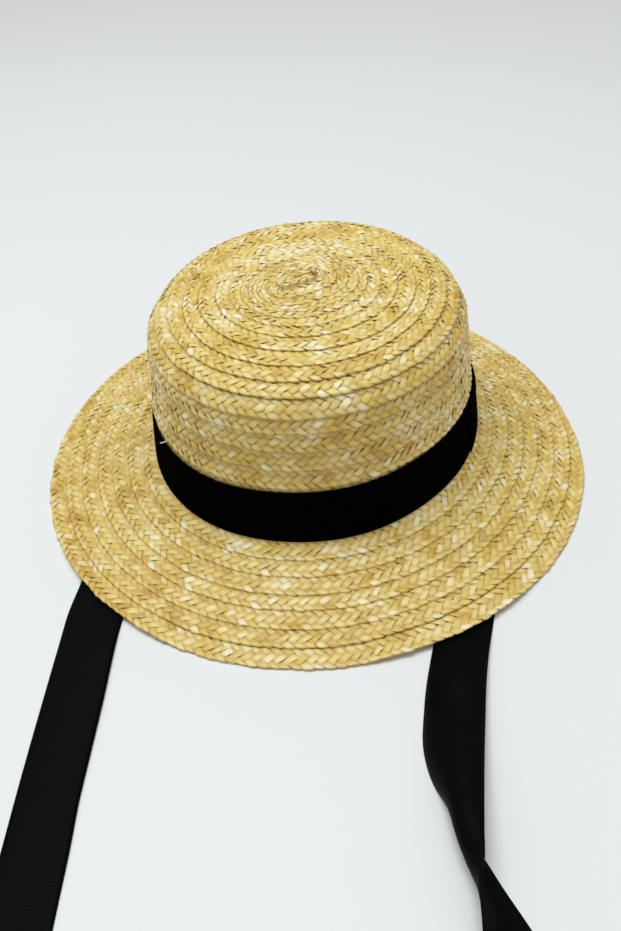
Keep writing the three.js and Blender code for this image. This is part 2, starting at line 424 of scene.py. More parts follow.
def streak_group() -> bpy.types.NodeTree:
    """The shared shader group of fine streaks that run along a fibre.

    Returns:
        A group with the inputs Run, Along and Across, and the output Streak from 0 to 1.
    """
    tree = bpy.data.node_groups.new("fibre streaks", "ShaderNodeTree")
    for name, kind in (("Run", "Vector"), ("Along", "Float"), ("Across", "Float")):
        tree.interface.new_socket(name, in_out="INPUT", socket_type="NodeSocket" + kind)
    tree.interface.new_socket("Streak", in_out="OUTPUT", socket_type="NodeSocketFloat")
    bench = Bench(tree)
    given = bench.add("NodeGroupInput")
    run, along, across = (Field(bench, given.outputs[name]) for name in ("Run", "Along", "Across"))
    spread = run.vector("MULTIPLY", bench.combined(along, across, STREAK_DEPTHWISE))
    noise = bench.out("ShaderNodeTexNoise", {"Vector": spread, "Scale": 1.0, "Detail": STREAK_DETAIL})
    streak = ((noise - 0.5) * STREAK_CONTRAST + 0.5).clamped()
    result = bench.add("NodeGroupOutput")
    bench.feed(result.inputs["Streak"], streak)
    return tree


class BrimRow(NamedTuple):
    """The brim's underside: out is the distance from the crown's foot, low the height."""

    out: float
    low: float


class FootRow(NamedTuple):
    """The section from half way up the wall to the brim, in millimetres: out from the foot, and height."""

    out: float
    z: float


class Around(NamedTuple):
    """A size that changes round the oval: at is in degrees from the right towards the back."""

    at: float
    size: float


def round_table(rows: Sequence[Around], degrees: Array) -> Array:
    """A table's size at each angle, smooth between its rows and the same again after a full turn.

    Args:
        rows: The table, in the order of its angles.
        degrees: The angles to read it at.

    Returns:
        The size at each of those angles.
    """
    at = np.array([row.at for row in rows], float)
    size = np.array([row.size for row in rows], float)
    at = np.concatenate([at - 360.0, at, at + 360.0])
    size = np.tile(size, 3)
    order = np.argsort(at)
    at, size = at[order], size[order]
    slope = np.gradient(size, at)
    turned = np.mod(degrees + 180.0, 360.0) - 180.0
    low = np.clip(np.searchsorted(at, turned) - 1, 0, len(at) - 2)
    span = at[low + 1] - at[low]
    t = (turned - at[low]) / span
    rise, fall = t * t * (3 - 2 * t), 1 - t * t * (3 - 2 * t)
    bend = span * (slope[low] * t * (1 - t) ** 2 - slope[low + 1] * t * t * (1 - t))
    return size[low] * fall + size[low + 1] * rise + bend


@dataclass
class HatForm:
    """The hat's outer surface: a section from the middle of the top to the brim's edge, round an oval.

    edge_lifts are the angles of the two ties. They, lift_half and lift_fade are in degrees.
    """

    foot_z: float = 18.5 * MM
    shoulder_z: float = 84 * MM
    flat_z: float = 104.5 * MM
    dome_z: float = 106.5 * MM
    wall_lean: float = 6 * MM
    top_inset: float = 27.5 * MM
    dome_edge_out: float = -58 * MM
    dome_edge_z: float = 105.9 * MM
    foot_tilt: float = 1.8 * MM
    straw: float = 2.2 * MM
    brim_width: float = 61.6 * MM
    start_offset: tuple[float, float] = (-4.5 * MM, 6 * MM)
    start_half_length: float = 11 * MM
    start_turn: float = math.radians(40)
    start_lap: float = 2.4 * MM
    start_reach: float = 60 * MM
    start_squareness: float = 3
    oval: Rise = Rise(50 * MM, 25 * MM)
    foot_out: float = 0.0006
    foot_rows: tuple[FootRow, ...] = (
        FootRow(-3.0, 51.25),
        FootRow(-0.25, 22.5),
        FootRow(0.0, 20.5),
        FootRow(0.4, 19.0),
        FootRow(1.4, 17.5),
        FootRow(3.2, 16.6),
    )
    brim_rows: tuple[BrimRow, ...] = (
        BrimRow(6 * MM, 13.7 * MM),
        BrimRow(18 * MM, 10.3 * MM),
        BrimRow(30 * MM, 7.1 * MM),
        BrimRow(42 * MM, 4 * MM),
        BrimRow(52 * MM, 1.4 * MM),
        BrimRow(57 * MM, 0.1 * MM),
        BrimRow(61.6 * MM, 0),
        BrimRow(68 * MM, 0),
    )
    brim_widths: tuple[Around, ...] = (
        Around(-140, 61.4 * MM),
        Around(-90, 62 * MM),
        Around(-36, 62.8 * MM),
        Around(-6, 60.6 * MM),
        Around(18, 56.5 * MM),
        Around(45, 55 * MM),
        Around(90, 57.5 * MM),
        Around(125, 62.5 * MM),
        Around(150, 64.2 * MM),
        Around(180, 63.2 * MM),
    )
    edge_lifts: tuple[float, ...] = (-124, -53)
    lift_half: float = 11
    lift_fade: float = 10
    lift_rise: float = 2.1 * MM
    lift_from: float = 30 * MM
    dome_steps: int = 12
    flat_steps: int = 14
    shoulder_steps: int = 40
    span_steps: int = 8
    centre: Array = field(init=False)
    half_width: float = field(init=False)
    half_length: float = field(init=False)

    def __post_init__(self) -> None:
        """Takes the crown's place and size from the frame, and lays out the section."""
        low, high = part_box("crown")
        self.centre = np.array([(low.x + high.x) / 2, (low.y + high.y) / 2, 0.0])
        self.half_width = (high.x - low.x) / 2
        self.half_length = (high.y - low.y) / 2
        self.section = self.lay_out_section()
        self.run = run_along(self.section)
        self.foot_run = float(np.interp(self.foot_out, self.section[:, 0], self.run))

    def lay_out_section(self) -> Array:
        """The section at the front.

        Returns:
            Rows of out and z, from the middle of the top to past the brim's edge.
        """
        turn = np.linspace(0, math.pi / 2, self.shoulder_steps)
        middle = np.linspace(-self.half_length, self.dome_edge_out, self.dome_steps)
        share = 1 - ((middle + self.half_length) / (self.dome_edge_out + self.half_length)) ** 2
        dome = np.column_stack([middle, self.dome_edge_z + (self.dome_z - self.dome_edge_z) * share])
        edge = np.linspace(self.dome_edge_out, -self.top_inset, self.flat_steps)[1:-1]
        fall = smoothstep((edge - self.dome_edge_out) / (-self.top_inset - self.dome_edge_out))
        flat = np.column_stack([edge, self.dome_edge_z + (self.flat_z - self.dome_edge_z) * fall])
        shoulder = np.column_stack([
            -self.top_inset + (self.top_inset - self.wall_lean) * np.sin(turn),
            self.shoulder_z + (self.flat_z - self.shoulder_z) * np.cos(turn),
        ])
        wall = np.array(self.foot_rows) * MM
        brim = np.array([[row.out, row.low + self.straw] for row in self.brim_rows])
        lower = smooth_path(np.vstack([shoulder[-2:], wall, brim]), self.span_steps)[self.span_steps :]
        return np.vstack([dome, flat, shoulder, lower[1:]])

    def width_at(self, degrees: Array) -> Array:
        """The brim's width at each angle."""
        return round_table(self.brim_widths, degrees)

    def lift_at(self, degrees: Array) -> Array:
        """How far the brim's edge is lifted where it rides over a tie.

        Args:
            degrees: Angles round the oval.

        Returns:
            The lift at each of them.
        """
        lift = np.zeros_like(degrees)
        for at in self.edge_lifts:
            away = np.abs(np.mod(degrees - at + 180.0, 360.0) - 180.0)
            lift += self.lift_rise * (1 - smoothstep((away - self.lift_half) / self.lift_fade))
        return lift

    def place(self, run: Array, degrees: Array, bulge: Array) -> Array:
        """Points on the outer surface.

        Args:
            run: Distances from the middle of the top, along the section at the front.
            degrees: Angles round the oval, from the right towards the back.
            bulge: How far outwards the brim's rows lie at that place beyond their place at the front.

        Returns:
            The points, in the frame.
        """
        run = np.maximum(run, -self.start_lap)
        angle = np.radians(degrees)
        out = np.interp(run, self.run, self.section[:, 0]) + np.minimum(run, 0)
        z = np.interp(run, self.run, self.section[:, 1])
        on_brim = run > self.foot_run
        out = out + np.where(on_brim, bulge, 0.0)
        design = np.where(on_brim, out * self.brim_width / self.width_at(degrees), 0.0)
        brim_start = np.searchsorted(self.run, self.foot_run)
        slope = self.section[brim_start:]
        z = np.where(on_brim, np.interp(design, slope[:, 0], slope[:, 1]), z)
        up_wall = np.clip((z - self.foot_z) / (self.shoulder_z - self.foot_z), 0, 1)
        along_brim = np.clip(design / self.brim_width, 0, 1)
        z = z + self.foot_tilt * np.cos(angle) * (1 - np.where(on_brim, along_brim, up_wall))
        lifted = smoothstep((design - self.lift_from) / (self.brim_width - self.lift_from))
        z = z + self.lift_at(degrees) * lifted
        long_axis = self.half_length + out
        narrower = self.half_length - self.half_width
        wide_axis = long_axis - narrower * self.oval.at(long_axis)
        near_start = np.clip(1 - run / self.start_reach, 0, 1) ** 2
        squared = np.tanh(self.start_squareness * np.cos(angle - self.start_turn))
        pull = self.start_half_length * squared * near_start
        x = wide_axis * np.cos(angle) + self.start_offset[0] * near_start + pull * math.cos(self.start_turn)
        y = long_axis * np.sin(angle) + self.start_offset[1] * near_start + pull * math.sin(self.start_turn)
        return np.stack([x, y, z], axis=-1) + self.centre

    def wall_point(self, degrees: Array, height: Array, off: Array) -> Array:
        """Points off the crown's wall.

        Args:
            degrees: Angles round the oval.
            height: Heights above the crown's foot.
            off: Distances off the wall.

        Returns:
            The points, in the frame.
        """
        angle = np.radians(degrees)
        out = off - self.wall_lean * height / (self.shoulder_z - self.foot_z)
        z = self.foot_z + height + self.foot_tilt * np.cos(angle)
        x = (self.half_width + out) * np.cos(angle)
        y = (self.half_length + out) * np.sin(angle)
        return np.stack([x, y, z * np.ones_like(x)], axis=-1) + self.centre


class Stretch(NamedTuple):
    """A length of the plait that is one piece: from one row to another, and the CAD nodes it stands for."""

    name: str
    first_row: float
    last_row: float
    stands_for: str


@dataclass(frozen=True)
class Looseness:
    """How far straws plaited by hand stray from an even plait.

    Heights and lean are in metres, splint_length in half pitches along a straw, other distances in straw
    widths. wander_pace and jolt_pace are for each half pitch along a straw, edge_pace for each pitch along
    the plait. apart tells the straws' noise apart.
    """

    splint_length: float = 61.0
    splint_offset: float = 0.37
    narrowing: float = 0.20
    hurry: float = 0.2
    wander: float = 0.42
    wander_pace: float = 0.45
    wander_height: float = 0.0005
    jolt: float = 0.30
    jolt_pace: float = 1.3
    jolt_width: float = 0.42
    jolt_height: float = 0.0004
    apart: tuple[float, float] = (7.3, 5.1)
    turn_in: float = 1.5
    fold: float = 0.22
    crest: float = 0.9
    lean: float = 0.00075
    edge_wave: float = 0.40
    edge_pace: float = 0.23
    ragged: float = 0.36


@dataclass(frozen=True)
class Toning:
    """How much each cause adds to the plait's tone, from 0, dark, to 1, pale, and where it is shaded.

    patches is how fine the cloudy change is. glint is a painted highlight, added to a few random cells. dip
    and tuck place painted shade: where a straw dives under its neighbour, and in a narrow band just past the
    hem of the row before. Tuck sizes are in metres. fibre_step is the length of straw for each half pitch,
    in metres. lots sets the splints apart in the finish's noise.
    """

    least: float = 0.16
    by_splint: float = 0.34
    by_cell: float = 0.28
    by_patch: float = 1.2
    patches: float = 70.0
    # painted highlight: how much paler the few glinting cells are, and above which chance a cell glints
    glint: float = 0.24
    glint_from: float = 0.91
    dip: float = 0.8
    tuck_width: float = 0.0012
    tuck_wander: float = 0.0016
    fibre_step: float = 0.0032
    lots: float = 9.0


class Lie(NamedTuple):
    """How each point of a straw lies in the plait, as values of the node tree.

    travel is how many half pitches along the straw it is, aside how many straw widths beside its middle.
    back is 1 on a pass from the plait's outer edge to its inner one. flat goes from 1 to 0 at a fold,
    upright the other way. wave is 1 over a crossing and -1 under it. uv is the place on the bed.
    """

    travel: Field
    aside: Field
    back: Field
    flat: Field
    upright: Field
    wave: Field
    height: Field
    wander: Field
    by_splint: Field
    by_cell: Field
    uv: Field


@dataclass
class SewnPlait:
    """The one long plait of seven straws, its rows and its pieces.

    A row is one turn. row_edges are the rows' outer edges, in millimetres from the middle of the top along
    the section at the front. margin is in pitches. Rises count rows, but rest_low goes by the height in
    metres and start_rise by turns.
    """

    form: HatForm
    looseness: Looseness = Looseness()
    toning: Toning = Toning()
    pitch: float = 5.0 * MM
    width: float = 14 * MM
    first_width: float = 10.5 * MM
    full_width_row: float = 7
    straws: int = 7
    steps: int = 16
    crossing_height: float = 0.46 * MM
    straw_thickness: float = 0.72 * MM
    coverage: float = 1.09
    sunk: float = 1.1 * MM
    flat_tilt: float = 0.078
    wall_tilt: float = 0.155
    tilt_about: float = 10 * MM
    wall_begins: Rise = Rise(8.0, 2.0)
    wall_ends: Rise = Rise(17.0, 1.3)
    level_share: float = 0.75
    first_turn: float = -0.05
    last_turn: float = 25.375
    last_row_from: float = 24.29
    rest_height: float = 0.25 * MM
    rest_low: Rise = Rise(9 * MM, -6 * MM)
    rest_turns: float = 0.08
    start_depth: float = 1.1 * MM
    start_rise: Rise = Rise(0.15, 0.3)
    margin: float = 2.0
    bed_margin: float = 0.05
    bed_columns: int = 12
    measured_at: float = 0.7
    measures: int = 40000
    bulge_from: float = 19.0
    bulge_over: float = 6.0
    # painted sheen: the top's rows are made paler, fading out by row 10
    top_painted_sheen: float = 0.11
    sheen_fades: Rise = Rise(6.0, 4.0)
    crease_from: float = 0.9
    seed: float = 4.0
    skin_shape: float = 2.2
    skin_gap: float = 0.06
    row_edges: tuple[float, ...] = (
        4.5, 11.5, 18.3, 24.5, 29.3, 36.7, 44.8, 55.4, 66.7, 76.9, 85.1, 94.9, 102.9, 112.9, 123.4,
        133.9, 144.3, 154.7, 165.0, 175.4, 184.1, 193.4, 201.0, 210.4, 219.2, 229.5,
    )
    bulges: tuple[Around, ...] = (
        Around(-140, 2 * MM),
        Around(-90, 1.4 * MM),
        Around(-36, 0.9 * MM),
        Around(45, 0.7 * MM),
        Around(90, 1.2 * MM),
        Around(125, 5.4 * MM),
        Around(150, 6.5 * MM),
        Around(180, 4.8 * MM),
    )
    stretches: tuple[Stretch, ...] = (
        Stretch("plait_top", 0.0, 8.5, "crown"),
        Stretch("plait_upper_wall", 8.5, 13.6, "crown"),
        Stretch("plait_lower_wall", 13.6, 18.3, "crown"),
        Stretch("plait_inner_brim", 18.3, 22.0, "brim"),
        Stretch("plait_outer_brim", 22.0, 26.0, "brim"),
    )

    def __post_init__(self) -> None:
        """Measures the plait's length along its rows."""
        self.turns = np.linspace(self.first_turn, self.last_turn, self.measures)
        path = self.surface(self.turns, np.full_like(self.turns, self.measured_at))
        self.pitches = run_along(path) / self.pitch

    def row_at(self, turns: Array) -> Array:
        """The row number after so many turns: whole at the front, where the rows run nearly level."""
        return turns - self.level_share / FULL_TURN * np.sin(FULL_TURN * turns)

    def surface(self, turns: Array, across: Array) -> Array:
        """Points of the hat's outer surface on the plait.

        Args:
            turns: Turns since the plait's start.
            across: Places across the plait, from 0 at its inner edge to 1 at its outer one.

        Returns:
            The points, in the frame.
        """
        row = self.row_at(turns)
        degrees = 360.0 * turns - 90.0
        edge = np.interp(row, np.arange(len(self.row_edges)), np.array(self.row_edges) * MM)
        share = np.clip((row - self.bulge_from) / self.bulge_over, 0, 1)
        bulge = round_table(self.bulges, degrees) * share
        free = self.form.width_at(degrees) - np.interp(edge, self.form.run, self.form.section[:, 0])
        bulge = np.where(row > self.last_row_from, free, bulge)
        width = self.width_at(row)
        return self.form.place(edge - (1 - across) * width, degrees, bulge)

    def width_at(self, row: Array) -> Array:
        """The plait's width at each row."""
        return self.first_width + (self.width - self.first_width) * smoothstep(row / self.full_width_row)

    def tilt_at(self, row: Array) -> Array:
        """How steeply the plait stands out over the next row: more on the crown's wall than elsewhere."""
        on_wall = self.wall_begins.at(row) * (1 - self.wall_ends.at(row))
        return self.flat_tilt + (self.wall_tilt - self.flat_tilt) * on_wall

    def bed(self, stretch: Stretch) -> tuple[bpy.types.Object, float, float]:
        """The strip of surface that a stretch of the plait lies on.

        Args:
            stretch: The stretch.

        Returns:
            The strip as an object, and the plait's pitches at the two ends of the straws on it.
        """
        rows = self.row_at(self.turns)
        ends = (stretch.first_row, stretch.last_row)
        first, last = (float(np.interp(row, rows, self.pitches)) for row in ends)
        first = max(first, self.margin)
        last = min(last, float(self.pitches[-1]) - self.margin)
        low, high = first - self.margin, last + self.margin
        count = int((high - low) * 2) + 1
        across = np.linspace(-self.bed_margin, 1 + self.bed_margin, self.bed_columns)
        turns = np.interp(np.linspace(low, high, count), self.pitches, self.turns)
        grid_turns, grid_across = np.meshgrid(turns, across, indexing="ij")
        points = self.surface(grid_turns, grid_across)
        along = np.gradient(points, axis=0)
        side = unit(np.gradient(points, axis=1))
        outward = unit(np.cross(side, along))
        row = self.row_at(grid_turns)
        inside = grid_across * self.width_at(row) - self.tilt_about
        sunk = self.sunk + self.rest_drop(grid_turns, points) + self.start_drop(grid_turns)
        laid = points + outward * (self.tilt_at(row) * inside - sunk)[..., None]
        mesh = grid_mesh("bed", laid, np.linspace(0, 1, count), np.linspace(0, 1, len(across)), "bed")
        before = self.surface(grid_turns - 1.0, np.ones_like(grid_across))
        past_hem = np.einsum("ijk,ijk->ij", points - before, side)
        past_hem = np.where(grid_turns - 1.0 < self.first_turn, self.width, past_hem)
        # painted sheen: a paler tone on the top's rows
        painted_sheen = self.top_painted_sheen * (1 - self.sheen_fades.at(row))
        hem = np.stack([past_hem, painted_sheen, np.zeros_like(painted_sheen)], axis=-1)
        for name, vectors in (("outward", outward), ("side", side), ("hem", hem)):
            mesh.attributes.new(name, "FLOAT_VECTOR", "POINT").data.foreach_set("vector", vectors.ravel())
        bed = placed(stretch.name + "_bed", mesh)
        bed["low"], bed["high"] = low, high
        return bed, first, last

    def rest_drop(self, turns: Array, points: Array) -> Array:
        """How far the last row sinks at the brim's edge, which rests on the surface below.

        Args:
            turns: Turns since the plait's start.
            points: The places there.

        Returns:
            The drop at each of them.
        """
        start = np.interp(self.last_row_from, self.row_at(self.turns), self.turns)
        return self.rest_height * self.rest_low.at(points[..., 2]) * Rise(start, self.rest_turns).at(turns)

    def start_drop(self, turns: Array) -> Array:
        """How far the first cut end is tucked down in the middle of the top."""
        return self.start_depth * (1 - self.start_rise.at(turns - self.first_turn))

    def tree(self) -> bpy.types.NodeTree:
        """The geometry nodes that plait seven straws on a bed.

        Returns:
            A tree whose inputs are the bed and the plait's sizes.
        """
        tree = bpy.data.node_groups.new("seven straw plait", "GeometryNodeTree")
        face = tree.interface
        face.new_socket("Bed", in_out="INPUT", socket_type="NodeSocketGeometry")
        for name in ("Low Pitch", "High Pitch", "First Pitch", "Last Pitch", "Crossing Height",
                     "Straw Thickness", "Coverage", "Pitch Length", "Seed"):
            face.new_socket(name, in_out="INPUT", socket_type="NodeSocketFloat")
        face.new_socket("Samples", in_out="INPUT", socket_type="NodeSocketInt")
        face.new_socket("Finish", in_out="INPUT", socket_type="NodeSocketMaterial")
        face.new_socket("Plait", in_out="OUTPUT", socket_type="NodeSocketGeometry")
        bench = Bench(tree)
        given = bench.add("NodeGroupInput")
        size = {socket.name: Field(bench, socket) for socket in given.outputs if socket.name}
        tubes = self.straw_tubes(bench, size)
        run, straw, side, face_up = (
            bench.out("GeometryNodeInputNamedAttribute", {"Name": name}, data_type="FLOAT")
            for name in ("run", "straw", "side", "face_up")
        )
        lie = self.weave(bench, size, run, straw, side)
        on_bed, outward, across, hem = (self.sampled(bench, given.outputs["Bed"], name, lie.uv)
                                        for name in ("position", "outward", "side", "hem"))
        thick = face_up * size["Straw Thickness"] * 0.5
        lifted = lie.height + thick * lie.flat * (1.0 - lie.back * 2.0)
        raised = on_bed.vector("ADD", outward.scaled(lifted))
        place = raised.vector("ADD", across.scaled(thick * lie.upright))
        moved = bench.out("GeometryNodeSetPosition", {"Geometry": tubes, "Position": place})
        toned = self.toned(bench, moved, size, lie, on_bed, hem)
        sharp = side.math("ABSOLUTE").math("GREATER_THAN", self.crease_from)
        creased = self.stored(bench, toned, "sharp_edge", sharp, data_type="BOOLEAN", domain="EDGE")
        dressed = bench.out("GeometryNodeSetMaterial", {"Geometry": creased, "Material": size["Finish"]})
        real = bench.out("GeometryNodeRealizeInstances", {"Geometry": dressed})
        result = bench.add("NodeGroupOutput")
        bench.feed(result.inputs[0], real)
        return tree

    def weave(self, bench: Bench, size: dict[str, Field], run: Field, straw: Field, side: Field) -> Lie:
        """Works out how each point of a straw lies in the plait.

        Plain numbers put with the seed or the straw keep one draw from another. A straw has up to four cells
        on its way across, and in each it lies over or under two lanes.

        Args:
            bench: The tree's bench.
            size: The tree's inputs, by name.
            run: How far along its straw the point is, from 0 to 1.
            straw: The straw's number.
            side: The point's place across its straw, from -1 to 1.

        Returns:
            How it lies.
        """
        loose, seed, count = self.looseness, size["Seed"], float(self.straws)
        turn_in = (straw * (2 / count)).math("ROUND")
        pitches = size["First Pitch"] + run * (size["Last Pitch"] - size["First Pitch"])
        travel = (pitches + straw - turn_in * (count / 2)) * 2.0
        crossing = (travel / count).math("FLOOR")
        back = (crossing + turn_in).math("FLOORED_MODULO", 2.0)
        part = (travel / count - crossing) * 2.0 - 1.0
        bent = part * (1 + loose.hurry) - part.math("POWER", 5.0) * loose.hurry
        middle = (bent + 1.0) * (count / 2)
        splint = (travel / loose.splint_length + straw * loose.splint_offset).math("FLOOR")
        by_splint = self.chance(bench, straw, splint, seed)
        narrow = size["Coverage"] - self.chance(bench, straw, splint, seed + 5.0) * loose.narrowing
        wander_place = bench.combined(travel * loose.wander_pace, straw * loose.apart[0], seed)
        wander = self.cloud(bench, wander_place) - 0.5
        jolt_place = bench.combined(travel * loose.jolt_pace, straw * loose.apart[1], seed + 3.0)
        jolt = self.cloud(bench, jolt_place) - 0.5
        aside = side * narrow * (0.5 + jolt * loose.jolt_width) + wander * loose.wander + jolt * loose.jolt
        held = (middle.math("MINIMUM", count - middle) / loose.turn_in).clamped()
        inward = middle - aside * held
        lane = inward + aside
        swing = (lane * (math.pi / 2) + 3 * math.pi / 4).math("COSINE")
        wave = (swing * loose.crest).math("TANH") * (1 / math.tanh(loose.crest))
        to_edge = (inward.math("MINIMUM", count - inward) / loose.fold).clamped()
        fold = (1.0 - to_edge) * (math.pi / 2)
        flat, upright = fold.math("COSINE"), fold.math("SINE")
        cell = ((lane + 0.5) * 0.5).math("FLOOR") + crossing * 4.0
        by_cell = self.chance(bench, straw * 3.1 + 0.7, cell, seed)
        lean = (self.chance(bench, straw + 11.0, cell, seed) - 0.5) * side * loose.lean
        crossed = wave * size["Crossing Height"] + lean
        height = (crossed + wander * loose.wander_height + jolt * loose.jolt_height) * flat
        along = (crossing * count + inward) * 0.5 + turn_in * (count / 2) - straw + aside
        across = inward + back * (count - inward * 2.0)
        edge_wave = self.cloud(bench, bench.combined(along * loose.edge_pace, seed, 3.0)) - 0.5
        ragged = (by_cell - 0.5) * upright * loose.ragged
        shifted = across + edge_wave * loose.edge_wave + ragged
        uv = bench.combined(
            (along - size["Low Pitch"]) / (size["High Pitch"] - size["Low Pitch"]),
            (shifted / count + self.bed_margin) / (1 + 2 * self.bed_margin),
            0.0,
        )
        return Lie(travel, aside, back, flat, upright, wave, height, wander, by_splint, by_cell, uv)

    def toned(self, bench: Bench, shape: Field, size: dict[str, Field], lie: Lie, on_bed: Field,
              hem: Field) -> Field:
        """Keeps on the straws what their finish reads: tone, with painted highlights and the top's painted
        sheen in it, fibre, and dip and tuck, which place painted shade.

        Args:
            bench: The tree's bench.
            shape: The straws.
            size: The tree's inputs, by name.
            lie: How each point lies in the plait.
            on_bed: The place on the bed below each point.
            hem: How far past the hem of the row before it is, and the painted sheen on the top there.

        Returns:
            The straws with those four values.
        """
        toning = self.toning
        patch = self.cloud(bench, on_bed.scaled(toning.patches)) - 0.5
        # painted highlight: a few random cells made much paler, as glints, added to the lots' random tone
        glint = lie.by_cell.math("GREATER_THAN", toning.glint_from) * toning.glint
        hem_parts = bench.add("ShaderNodeSeparateXYZ", {0: hem})
        past_hem, painted_sheen = (Field(bench, hem_parts.outputs[k]) for k in (0, 1))
        lots_and_glints = lie.by_splint * toning.by_splint + lie.by_cell * toning.by_cell + glint
        # tone takes in the top's painted sheen besides the random lots and patches
        tone = (lots_and_glints + patch * toning.by_patch + toning.least + painted_sheen).clamped()
        lot_number = lie.by_splint * toning.lots + lie.by_cell
        fibre = bench.combined(lie.travel * toning.fibre_step, lie.aside * size["Pitch Length"], lot_number)
        # painted shade: darkest half way between over and under, where a straw dives beneath its neighbour
        dip = (toning.dip - lie.wave.math("ABSOLUTE") * toning.dip) * lie.flat
        # painted shade: a narrow dark band just past the hem of the row before, where that row's edge casts
        # shade
        tucked = past_hem / (toning.tuck_width + lie.wander * toning.tuck_wander)
        tuck = (1.0 - tucked.clamped()) * lie.flat
        shape = self.stored(bench, shape, "tone", tone)
        shape = self.stored(bench, shape, "fibre", fibre, data_type="FLOAT_VECTOR")
        shape = self.stored(bench, shape, "dip", dip.clamped())
        return self.stored(bench, shape, "tuck", tuck)

    def straw_tubes(self, bench: Bench, size: dict[str, Field]) -> Field:
        """Seven straight closed tubes with a lens section, which carry where each point is on its straw.

        Args:
            bench: The tree's bench.
            size: The tree's inputs, by name.

        Returns:
            The tubes.
        """
        line = bench.out("GeometryNodeCurvePrimitiveLine", {"End": (1.0, 0.0, 0.0)})
        fine = bench.out("GeometryNodeResampleCurve", {"Curve": line, "Count": size["Samples"]})
        along = bench.out("GeometryNodeSplineParameter", socket="Factor")
        ruled = self.stored(bench, fine, "run", along)
        copies = bench.add("GeometryNodeDuplicateElements", {"Geometry": ruled, "Amount": self.straws},
                           domain="SPLINE")
        straws, number = (Field(bench, socket) for socket in copies.outputs)
        numbered = self.stored(bench, straws, "straw", number)
        ring = bench.out("GeometryNodeCurvePrimitiveCircle", {"Resolution": 4, "Radius": 1.0})
        corner = bench.add("ShaderNodeSeparateXYZ", {0: bench.out("GeometryNodeInputPosition")})
        sided = self.stored(bench, ring, "side", Field(bench, corner.outputs[0]))
        lens = self.stored(bench, sided, "face_up", Field(bench, corner.outputs[1]))
        return bench.out(
            "GeometryNodeCurveToMesh", {"Curve": numbered, "Profile Curve": lens, "Fill Caps": True}
        )

    @staticmethod
    def stored(bench: Bench, shape: Field, name: str, value: Field, data_type: str = "FLOAT",
               domain: str = "POINT") -> Field:
        """The shape with a value kept on it under a name."""
        feeds = {"Geometry": shape, "Name": name, "Value": value}
        return bench.out("GeometryNodeStoreNamedAttribute", feeds, data_type=data_type, domain=domain)

    @staticmethod
    def chance(bench: Bench, first: Number, second: Number, seed: Number) -> Field:
        """A fixed random number from 0 to 1 for each pair of values."""
        pair = bench.combined(first, second, seed)
        return bench.out("ShaderNodeTexWhiteNoise", {"Vector": pair}, noise_dimensions="3D")

    @staticmethod
    def cloud(bench: Bench, place: Field) -> Field:
        """Smooth noise from 0 to 1 at a place."""
        return bench.out("ShaderNodeTexNoise", {"Vector": place, "Scale": 1.0, "Detail": 1.0})

    @staticmethod
    def sampled(bench: Bench, bed: bpy.types.NodeSocket, name: str, uv: Field) -> Field:
        """A vector that the bed holds, at a place on its UV map.

        Args:
            bench: The tree's bench.
            bed: The bed.
            name: The vector's name.
            uv: The place.

        Returns:
            The vector.
        """
        value = bench.out("GeometryNodeInputPosition") if name == "position" else bench.out(
            "GeometryNodeInputNamedAttribute", {"Name": name}, data_type="FLOAT_VECTOR")
        chart = bench.out("GeometryNodeInputNamedAttribute", {"Name": "bed"}, data_type="FLOAT_VECTOR")
        return bench.out(
            "GeometryNodeSampleUVSurface", {"Mesh": bed, 1: value, 2: chart, 3: uv}, data_type="FLOAT_VECTOR"
        )

    def lay_out_skin(self, mesh: bpy.types.Mesh, samples: int) -> None:
        """Gives the straws a flat chart: the four sides of each as strips, cut to length and laid in rows.

        Args:
            mesh: The straws, as tubes of four points a ring.
            samples: How many rings each straw has.
        """
        corners = np.empty(len(mesh.loops), np.int32)
        mesh.loops.foreach_get("vertex_index", corners)
        corners = corners.reshape(-1, 4)
        straw, ring, corner = corners // (4 * samples), corners % (4 * samples) // 4, corners % 4
        first = ring.min(axis=1, keepdims=True)
        is_end = ring.max(axis=1, keepdims=True) == first
        wraps = (corner.min(axis=1, keepdims=True) == 0) & (corner.max(axis=1, keepdims=True) == 3)
        side = np.where(wraps, 3, corner.min(axis=1, keepdims=True))
        segments = samples - 1
        columns = int(math.sqrt(4 * self.straws * segments * self.skin_shape))
        rows = math.ceil(4 * self.straws * segments / columns) + 1
        place = (straw * 4 + side) * segments + first
        u = (place % columns + (ring - first)) / columns
        v = place // columns + self.skin_gap + (1 - 2 * self.skin_gap) * (corner == (side + 1) % 4)
        end_u = (straw * 4 + (first > 0) * 2 + np.isin(corner, (1, 2))) / columns
        end_v = rows - 1 + self.skin_gap + (1 - 2 * self.skin_gap) * (corner > 1)
        chart = np.stack([np.where(is_end, end_u, u), np.where(is_end, end_v, v) / rows], axis=-1)
        mesh.uv_layers.new(name="OFBake").data.foreach_set("uv", chart.astype(np.float32).ravel())

